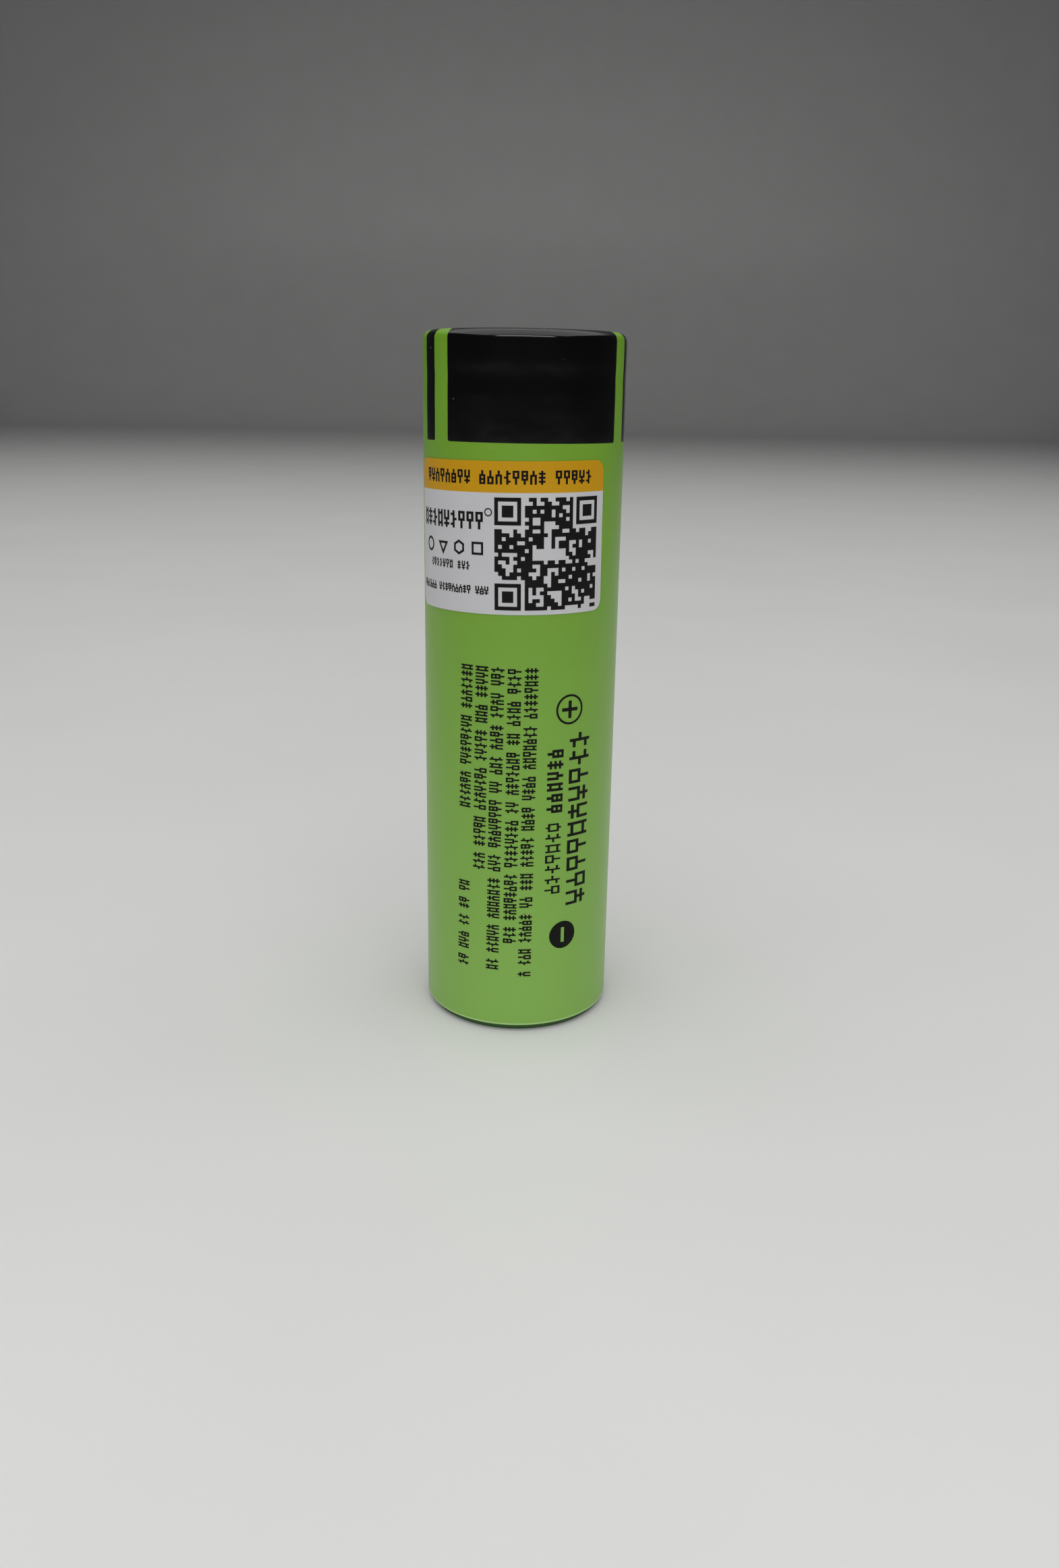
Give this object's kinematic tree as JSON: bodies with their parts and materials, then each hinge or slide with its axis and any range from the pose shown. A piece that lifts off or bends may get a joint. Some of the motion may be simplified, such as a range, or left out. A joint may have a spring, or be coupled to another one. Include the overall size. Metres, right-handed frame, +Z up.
{
  "type": "cylindrical battery cell",
  "caption": "Cylindrical lithium-ion cell, flat-top, in a printed shrink sleeve with a sticker, with its can, closure, current interrupt and wound electrodes inside.",
  "frame": {"origin": "centre of the negative end, on the surface that the cell stands on", "axes": "+Z up the cell's axis towards the positive cap, -Y out of the printed front between the sticker's ends"},
  "size_m": [0.0184, 0.0185, 0.0653],
  "materials": {
    "sleeve_film": "satin green shrink film with a gloss black printed band",
    "label_paper": "coated white paper with a yellow header",
    "can_steel": "nickel-plated drawn steel",
    "washer_white": "matt white fibre",
    "cap_nickel": "bright nickel plate",
    "gasket_plastic": "translucent natural polypropylene",
    "ptc_polymer": "matt carbon-filled polymer",
    "vent_aluminium": "pressed soft aluminium",
    "plate_plastic": "matt natural polypropylene",
    "cathode_coating": "matt black coating on aluminium foil",
    "anode_coating": "matt graphite coating on copper foil",
    "separator_film": "thin white microporous film",
    "tape_film": "amber polyimide tape",
    "tab_nickel": "rolled nickel strip",
    "tab_aluminium": "rolled aluminium strip",
    "pin_steel": "rolled spring steel"
  },
  "bodies": {
    "cell": {"shrink_sleeve": "sleeve_film", "label_sticker": "label_paper", "can": "can_steel", "insulator_washer": "washer_white", "positive_cap": "cap_nickel", "crimp_gasket": "gasket_plastic", "ptc_ring": "ptc_polymer", "vent_disc_rim": "vent_aluminium", "cid_insulator_ring": "plate_plastic", "cid_lower_disc": "vent_aluminium", "top_insulator_plate": "plate_plastic", "bottom_insulator_plate": "plate_plastic", "cathode_sheet": "cathode_coating", "anode_sheet": "anode_coating", "inner_separator": "separator_film", "outer_separator": "separator_film", "winding_tape": "tape_film", "negative_tab_tape": "tape_film", "negative_tab": "tab_nickel", "positive_tab": "tab_aluminium", "centre_pin": "pin_steel"},
    "interrupt_dome": {"vent_dome": "vent_aluminium"}
  },
  "joints": [
    {"name": "interrupt_snap", "type": "slide", "parent": "cell", "child": "interrupt_dome", "axis": [0, 0, 1], "range_m": [0, 0.0005]}
  ]
}
